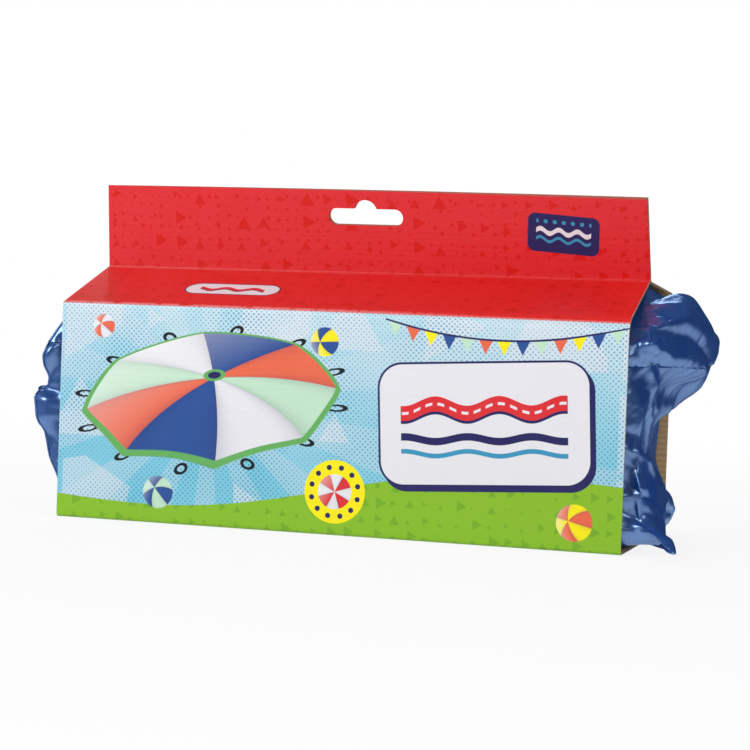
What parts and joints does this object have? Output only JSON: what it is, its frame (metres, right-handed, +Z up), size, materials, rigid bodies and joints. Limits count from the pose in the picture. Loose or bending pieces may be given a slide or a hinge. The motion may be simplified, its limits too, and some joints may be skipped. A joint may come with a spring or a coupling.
{
  "type": "packed play parachute",
  "caption": "Play parachute in its shop pack: a gable-topped board sleeve with a hanging header round a stuffed satin bag that holds the folded canopy.",
  "frame": {"origin": "middle of the sleeve's bottom face", "axes": "+X along the sleeve to the bag's closed end, +Y from the front panel to the back panel, +Z up"},
  "size_m": [0.356, 0.138, 0.1816],
  "materials": {
    "printed_board": "printed board, satin varnish, bare brown inside",
    "red_board": "printed board, satin varnish",
    "bag_satin": "glossy satin",
    "coral_cloth": "plain taffeta",
    "blue_cloth": "plain taffeta",
    "white_cloth": "plain taffeta",
    "mint_cloth": "plain taffeta",
    "green_tape": "matt binding tape",
    "black_webbing": "woven webbing"
  },
  "bodies": {
    "sleeve": {"sleeve_wrap": "printed_board"},
    "header": {"header_front_ply": "red_board", "header_back_ply": "red_board"},
    "bag": {"bag_upper_panel": "bag_satin", "bag_lower_panel": "bag_satin", "bag_seam_allowance": "bag_satin", "bag_mouth_hem": "bag_satin"},
    "parachute": {"canopy_gore_1": "coral_cloth", "canopy_gore_2": "blue_cloth", "canopy_gore_3": "white_cloth", "canopy_gore_4": "mint_cloth", "canopy_gore_5": "coral_cloth", "canopy_gore_6": "blue_cloth", "canopy_gore_7": "white_cloth", "canopy_gore_8": "mint_cloth", "edge_binding_1": "green_tape", "edge_binding_2": "green_tape", "edge_binding_3": "green_tape", "edge_binding_4": "green_tape", "edge_binding_5": "green_tape", "edge_binding_6": "green_tape", "edge_binding_7": "green_tape", "edge_binding_8": "green_tape", "vent_binding": "green_tape", "handle_01": "black_webbing", "handle_02": "black_webbing", "handle_03": "black_webbing", "handle_04": "black_webbing", "handle_05": "black_webbing", "handle_06": "black_webbing", "handle_07": "black_webbing", "handle_08": "black_webbing", "handle_09": "black_webbing", "handle_10": "black_webbing", "handle_11": "black_webbing", "handle_12": "black_webbing"}
  },
  "joints": [
    {"name": "header_fold", "type": "hinge", "parent": "sleeve", "child": "header", "pos_m": [0, -0.01115, 0.13839], "axis": [1, 0, 0], "range_deg": [-96, 76]},
    {"name": "bag_slide", "type": "slide", "parent": "sleeve", "child": "bag", "axis": [1, 0, 0], "range_m": [0, 0.33]},
    {"name": "parachute_slide", "type": "slide", "parent": "bag", "child": "parachute", "axis": [-1, 0, 0], "range_m": [0, 0.31]}
  ]
}
